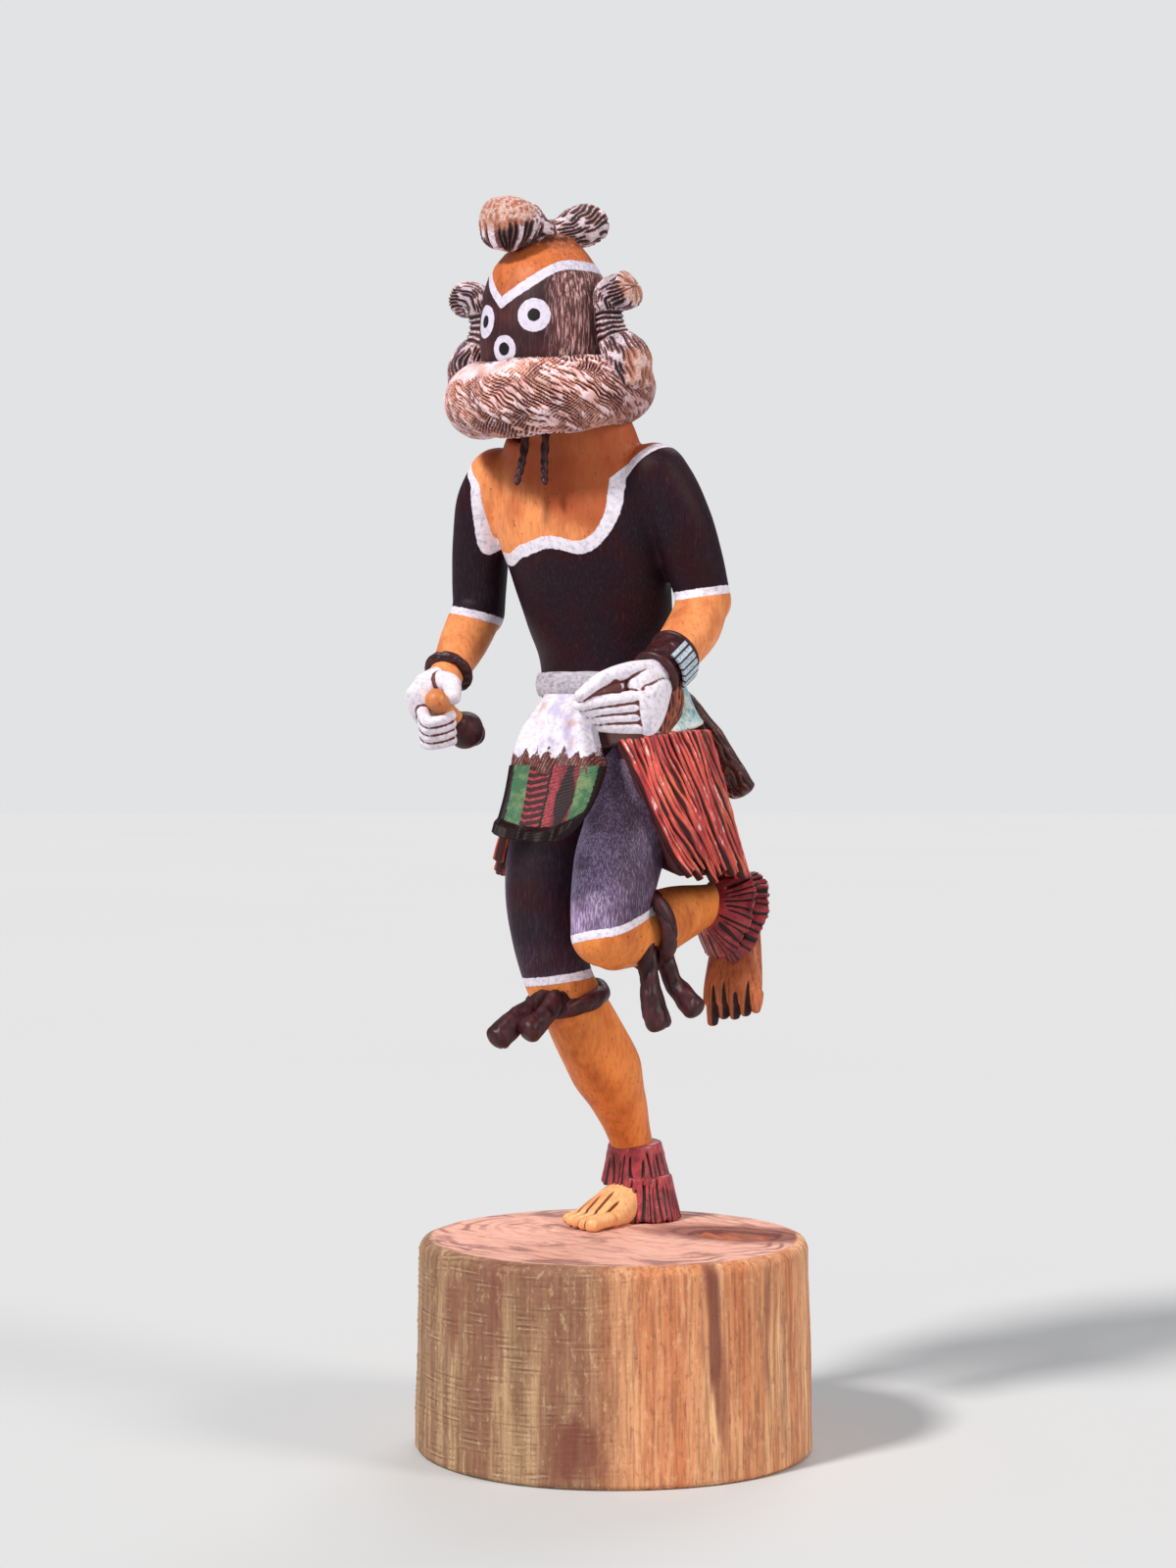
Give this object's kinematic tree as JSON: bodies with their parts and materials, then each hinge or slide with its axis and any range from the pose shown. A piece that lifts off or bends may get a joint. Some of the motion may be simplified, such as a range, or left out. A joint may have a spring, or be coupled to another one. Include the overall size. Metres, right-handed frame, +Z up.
{
  "type": "kachina doll",
  "caption": "Carved and painted cottonwood kachina dancer on one foot, with mask, fur ruff, fringed kilt, sash, pelt and rattle, on a round of bare log",
  "frame": {"origin": "middle of the flat underside of the log round", "axes": "+Z up, the dancer faces -Y, and its left side is towards +X"},
  "size_m": [0.0769, 0.0762, 0.2404],
  "materials": {
    "painted_wood": "carved cottonwood, painted in ochre, dark brown, white, coral red, turquoise and green, with a dark wash in the cuts",
    "bare_wood": "bare sanded cottonwood log, with grain, growth rings and saw marks"
  },
  "bodies": {
    "root": {"figure": "painted_wood", "base": "bare_wood"}
  },
  "joints": []
}
